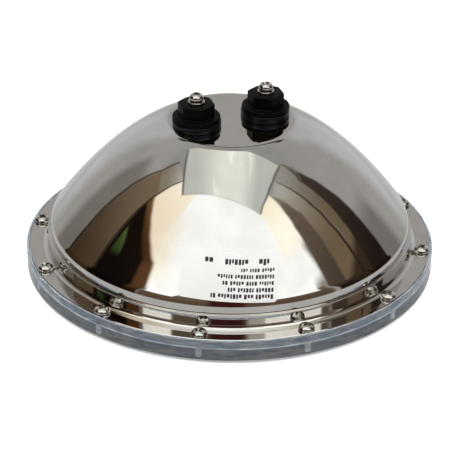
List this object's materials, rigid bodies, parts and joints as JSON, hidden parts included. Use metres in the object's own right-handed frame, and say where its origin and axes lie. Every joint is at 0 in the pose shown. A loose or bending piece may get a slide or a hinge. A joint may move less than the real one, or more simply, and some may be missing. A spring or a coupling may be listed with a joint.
{
  "type": "underwater pool light",
  "caption": "Sealed round pool lamp: clear front lens with LED board, polished steel rear shell with a screwed flange, and screw terminals on its flat top.",
  "frame": {"origin": "centre of the lens's flat outer face, which the lamp lies on", "axes": "+Z along the lamp's axis from the lens to the terminals, +X through both screw terminals, right-handed +Y"},
  "size_m": [0.177, 0.177, 0.0811],
  "materials": {
    "clear_lens": "gloss",
    "silicone": "satin",
    "polished_steel": "polished",
    "screw_steel": "polished",
    "black_plastic": "satin",
    "seal_rubber": "satin",
    "brass": "satin",
    "tinned_copper": "satin",
    "label_film": "satin",
    "led_board_white": "satin",
    "thermal_pad": "matte",
    "plate_aluminium": "satin",
    "circuit_board": "satin",
    "capacitor_sleeve": "satin",
    "ferrite": "matte",
    "chip_epoxy": "matte",
    "wire_black": "satin",
    "wire_red": "satin",
    "wire_green": "satin",
    "wire_blue": "satin"
  },
  "bodies": {
    "lamp": {"front_lens": "clear_lens", "lens_gasket": "silicone", "rear_shell": "polished_steel", "clamp_screw_01": "screw_steel", "clamp_screw_02": "screw_steel", "clamp_screw_03": "screw_steel", "clamp_screw_04": "screw_steel", "clamp_screw_05": "screw_steel", "clamp_screw_06": "screw_steel", "clamp_screw_07": "screw_steel", "clamp_screw_08": "screw_steel", "clamp_screw_09": "screw_steel", "clamp_screw_10": "screw_steel", "clamp_screw_11": "screw_steel", "clamp_screw_12": "screw_steel", "plate_screw_01": "screw_steel", "plate_screw_02": "screw_steel", "plate_screw_03": "screw_steel", "plate_screw_04": "screw_steel", "driver_screw_01": "screw_steel", "driver_screw_02": "screw_steel", "driver_screw_03": "screw_steel", "terminal_body_left": "black_plastic", "terminal_body_right": "black_plastic", "lock_nut_left": "black_plastic", "lock_nut_right": "black_plastic", "terminal_seal_left": "seal_rubber", "terminal_seal_right": "seal_rubber", "terminal_insert_left": "brass", "terminal_insert_right": "brass", "lug_nut_left": "brass", "lug_nut_right": "brass", "standoff_01": "brass", "standoff_02": "brass", "standoff_03": "brass", "ring_lug_left": "tinned_copper", "ring_lug_right": "tinned_copper", "rating_label": "label_film", "led_board": "led_board_white", "thermal_pad": "thermal_pad", "heat_plate": "plate_aluminium", "driver_board": "circuit_board", "capacitor_01": "capacitor_sleeve", "capacitor_02": "capacitor_sleeve", "inductor": "ferrite", "rectifier": "chip_epoxy", "controller_chip": "chip_epoxy", "feed_wire_left": "wire_black", "led_wire_black": "wire_black", "feed_wire_right": "wire_red", "led_wire_red": "wire_red", "led_wire_green": "wire_green", "led_wire_blue": "wire_blue"},
    "washer_left": {"terminal_washer_left": "screw_steel", "spring_washer_left": "screw_steel"},
    "screw_left": {"terminal_screw_left": "screw_steel"},
    "washer_right": {"terminal_washer_right": "screw_steel", "spring_washer_right": "screw_steel"},
    "screw_right": {"terminal_screw_right": "screw_steel"}
  },
  "joints": [
    {"name": "washer_left_lift", "type": "slide", "parent": "lamp", "child": "washer_left", "axis": [0, 0, 1], "range_m": [0, 0.003]},
    {"name": "screw_left_turn", "type": "hinge", "parent": "washer_left", "child": "screw_left", "pos_m": [-0.0158, 0, 0.0788], "axis": [0, 0, 1], "range_deg": [0, 1800]},
    {"name": "washer_right_lift", "type": "slide", "parent": "lamp", "child": "washer_right", "axis": [0, 0, 1], "range_m": [0, 0.003]},
    {"name": "screw_right_turn", "type": "hinge", "parent": "washer_right", "child": "screw_right", "pos_m": [0.0158, 0, 0.0788], "axis": [0, 0, 1], "range_deg": [0, 1800]}
  ],
  "couplings": [
    {"joint": "screw_left_turn", "follows": "washer_left_lift", "rad_per_m": 10472},
    {"joint": "screw_right_turn", "follows": "washer_right_lift", "rad_per_m": 10472}
  ]
}
